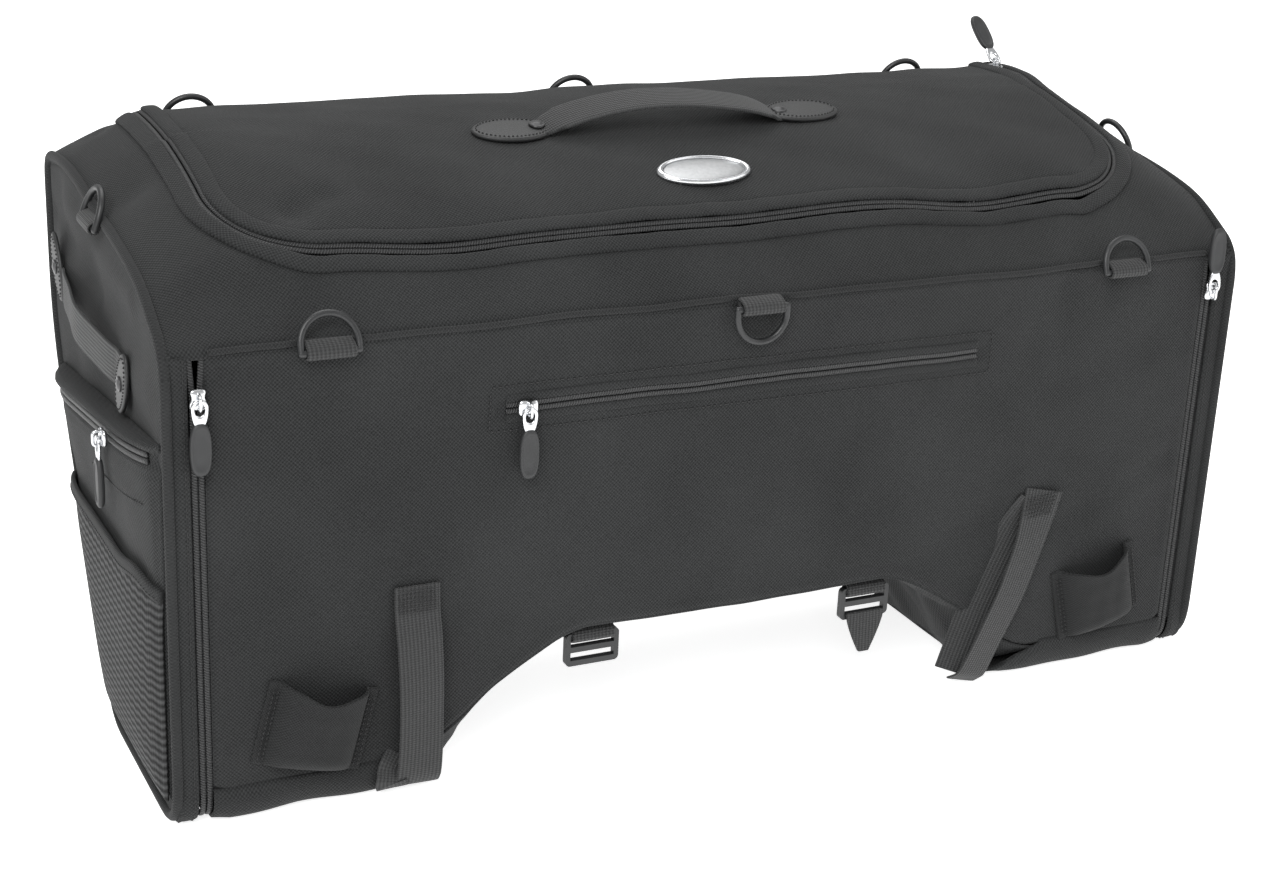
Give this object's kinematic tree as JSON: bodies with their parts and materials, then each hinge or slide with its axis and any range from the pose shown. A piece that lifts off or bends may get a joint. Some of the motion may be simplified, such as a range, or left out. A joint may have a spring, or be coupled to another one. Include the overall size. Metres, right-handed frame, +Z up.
{
  "type": "motorcycle tail bag",
  "caption": "Soft zip-lid motorcycle luggage bag with an arched underside, side pockets, D-rings and a carry handle.",
  "frame": {"origin": "on the ground under the middle of the bag's bounding box", "axes": "+X along the bag to its right end, -Y towards its front face, +Z up"},
  "size_m": [0.6684, 0.268, 0.351],
  "materials": {
    "bag_fabric": "coarse ballistic weave, matt",
    "webbing": "ribbed webbing",
    "mesh": "ribbed mesh",
    "lining": "coated lining",
    "vinyl": "pebbled vinyl, satin",
    "ring_plastic": "moulded, satin",
    "zip_coil": "woven coil",
    "board": "sheet",
    "chrome_metal": "plated",
    "pull_rubber": "moulded, matt"
  },
  "bodies": {
    "shell": {"front_panel": "bag_fabric", "rear_panel": "bag_fabric", "foot_panels": "bag_fabric", "arch_panel": "bag_fabric", "top_surround": "bag_fabric", "surround_zip": "zip_coil", "front_seam_piping": "bag_fabric", "corner_zips": "zip_coil", "front_zip": "zip_coil", "front_pocket": "lining", "stiffener_boards": "board", "tie_straps": "webbing", "strap_pockets": "bag_fabric", "yoke_left": "bag_fabric", "yoke_right": "bag_fabric", "ring_tabs": "webbing", "buckle_tabs": "webbing"},
    "lid": {"lid_panel": "bag_fabric", "lid_zip": "zip_coil", "carry_strap": "webbing", "handle_patches": "vinyl", "handle_rivets": "chrome_metal", "badge": "chrome_metal"},
    "end_left": {"end_panel_left": "bag_fabric", "end_trim_left": "bag_fabric", "gusset_left": "lining", "side_pocket_left": "bag_fabric", "mesh_pocket_left": "mesh", "side_handle_left": "webbing"},
    "end_right": {"end_panel_right": "bag_fabric", "end_trim_right": "bag_fabric", "gusset_right": "lining", "side_pocket_right": "bag_fabric", "mesh_pocket_right": "mesh", "side_handle_right": "webbing"},
    "buckle_left": {"buckle_left": "ring_plastic"},
    "buckle_right": {"buckle_right": "ring_plastic", "buckle_tail": "webbing"},
    "dring_end_left": {"dring_end_left": "ring_plastic"},
    "dring_end_right": {"dring_end_right": "ring_plastic"},
    "dring_front_left": {"dring_front_left": "ring_plastic"},
    "dring_front_middle": {"dring_front_middle": "ring_plastic"},
    "dring_front_right": {"dring_front_right": "ring_plastic"},
    "dring_rear_left": {"dring_rear_left": "ring_plastic"},
    "dring_rear_middle": {"dring_rear_middle": "ring_plastic"},
    "dring_rear_right": {"dring_rear_right": "ring_plastic"},
    "pull_corner_left": {"pull_corner_left": "pull_rubber"},
    "pull_corner_right": {"pull_corner_right": "pull_rubber"},
    "pull_front": {"pull_front": "pull_rubber"},
    "pull_lid": {"pull_lid": "pull_rubber"},
    "pull_side_left": {"pull_side_left": "pull_rubber"},
    "pull_side_right": {"pull_side_right": "pull_rubber"},
    "slider_corner_left": {"slider_corner_left": "chrome_metal"},
    "slider_corner_right": {"slider_corner_right": "chrome_metal"},
    "slider_front": {"slider_front": "chrome_metal"},
    "slider_lid": {"slider_lid": "chrome_metal"},
    "slider_side_left": {"slider_side_left": "chrome_metal"},
    "slider_side_right": {"slider_side_right": "chrome_metal"}
  },
  "joints": [
    {"name": "lid_hinge", "type": "hinge", "parent": "shell", "child": "lid", "pos_m": [0, 0.0923, 0.321], "axis": [-1, 0, 0], "range_deg": [0, 80]},
    {"name": "lid_slider_run", "type": "hinge", "parent": "lid", "child": "slider_lid", "pos_m": [0, 0.07889, -0.05823], "axis": [1, 0, 0], "range_deg": [0, 15.29]},
    {"name": "lid_pull_swing", "type": "hinge", "parent": "slider_lid", "child": "pull_lid", "pos_m": [0.272, 0.07698, 0.32566], "axis": [1, 0, 0], "range_deg": [0, 135]},
    {"name": "front_slider_run", "type": "slide", "parent": "shell", "child": "slider_front", "axis": [1, 0, 0], "range_m": [0, 0.26]},
    {"name": "front_pull_swing", "type": "hinge", "parent": "slider_front", "child": "pull_front", "pos_m": [-0.13, -0.1234, 0.206], "axis": [-1, 0, 0], "range_deg": [0, 170]},
    {"name": "corner_slider_left_run", "type": "slide", "parent": "shell", "child": "slider_corner_left", "axis": [0, 0, -1], "range_m": [0, 0.185]},
    {"name": "corner_pull_left_swing", "type": "hinge", "parent": "slider_corner_left", "child": "pull_corner_left", "pos_m": [-0.298, -0.1234, 0.229], "axis": [-1, 0, 0], "range_deg": [0, 170]},
    {"name": "end_left_swing", "type": "hinge", "parent": "shell", "child": "end_left", "pos_m": [-0.3125, 0.0035, 0.251], "axis": [0, 1, 0], "range_deg": [0, 15]},
    {"name": "side_slider_left_run", "type": "slide", "parent": "end_left", "child": "slider_side_left", "axis": [0, 0.9909, -0.1345], "range_m": [-0.05, 0.112]},
    {"name": "side_pull_left_swing", "type": "hinge", "parent": "slider_side_left", "child": "pull_side_left", "pos_m": [-0.3293, -0.045, 0.18758], "axis": [0, 1, 0], "range_deg": [0, 170]},
    {"name": "corner_slider_right_run", "type": "slide", "parent": "shell", "child": "slider_corner_right", "axis": [0, 0, -1], "range_m": [0, 0.185]},
    {"name": "corner_pull_right_swing", "type": "hinge", "parent": "slider_corner_right", "child": "pull_corner_right", "pos_m": [0.298, -0.1234, 0.229], "axis": [1, 0, 0], "range_deg": [0, 178]},
    {"name": "end_right_swing", "type": "hinge", "parent": "shell", "child": "end_right", "pos_m": [0.3125, 0.0035, 0.251], "axis": [0, -1, 0], "range_deg": [0, 15]},
    {"name": "side_slider_right_run", "type": "slide", "parent": "end_right", "child": "slider_side_right", "axis": [0, 0.9909, -0.1345], "range_m": [-0.05, 0.112]},
    {"name": "side_pull_right_swing", "type": "hinge", "parent": "slider_side_right", "child": "pull_side_right", "pos_m": [0.3293, -0.045, 0.18758], "axis": [0, -1, 0], "range_deg": [0, 170]},
    {"name": "ring_front_left_swing", "type": "hinge", "parent": "shell", "child": "dring_front_left", "pos_m": [-0.234, -0.1234, 0.247], "axis": [1, 0, 0], "range_deg": [0, 200]},
    {"name": "ring_rear_left_swing", "type": "hinge", "parent": "shell", "child": "dring_rear_left", "pos_m": [-0.234, 0.1304, 0.302], "axis": [-1, 0, 0], "range_deg": [0, 200]},
    {"name": "ring_front_middle_swing", "type": "hinge", "parent": "shell", "child": "dring_front_middle", "pos_m": [0, -0.1234, 0.247], "axis": [1, 0, 0], "range_deg": [-200, 0]},
    {"name": "ring_rear_middle_swing", "type": "hinge", "parent": "shell", "child": "dring_rear_middle", "pos_m": [0, 0.1304, 0.302], "axis": [-1, 0, 0], "range_deg": [0, 200]},
    {"name": "ring_front_right_swing", "type": "hinge", "parent": "shell", "child": "dring_front_right", "pos_m": [0.234, -0.1234, 0.247], "axis": [1, 0, 0], "range_deg": [0, 200]},
    {"name": "ring_rear_right_swing", "type": "hinge", "parent": "shell", "child": "dring_rear_right", "pos_m": [0.234, 0.1304, 0.302], "axis": [-1, 0, 0], "range_deg": [0, 200]},
    {"name": "ring_end_left_swing", "type": "hinge", "parent": "shell", "child": "dring_end_left", "pos_m": [-0.3184, 0.006, 0.28313], "axis": [0, -1, 0], "range_deg": [0, 200]},
    {"name": "buckle_left_swing", "type": "hinge", "parent": "shell", "child": "buckle_left", "pos_m": [-0.085, -0.11, 0.0695], "axis": [1, 0, 0], "range_deg": [-80, 80]},
    {"name": "ring_end_right_swing", "type": "hinge", "parent": "shell", "child": "dring_end_right", "pos_m": [0.3184, 0.006, 0.28313], "axis": [0, 1, 0], "range_deg": [0, 200]},
    {"name": "buckle_right_swing", "type": "hinge", "parent": "shell", "child": "buckle_right", "pos_m": [0.085, -0.11, 0.0695], "axis": [1, 0, 0], "range_deg": [-80, 80]}
  ]
}
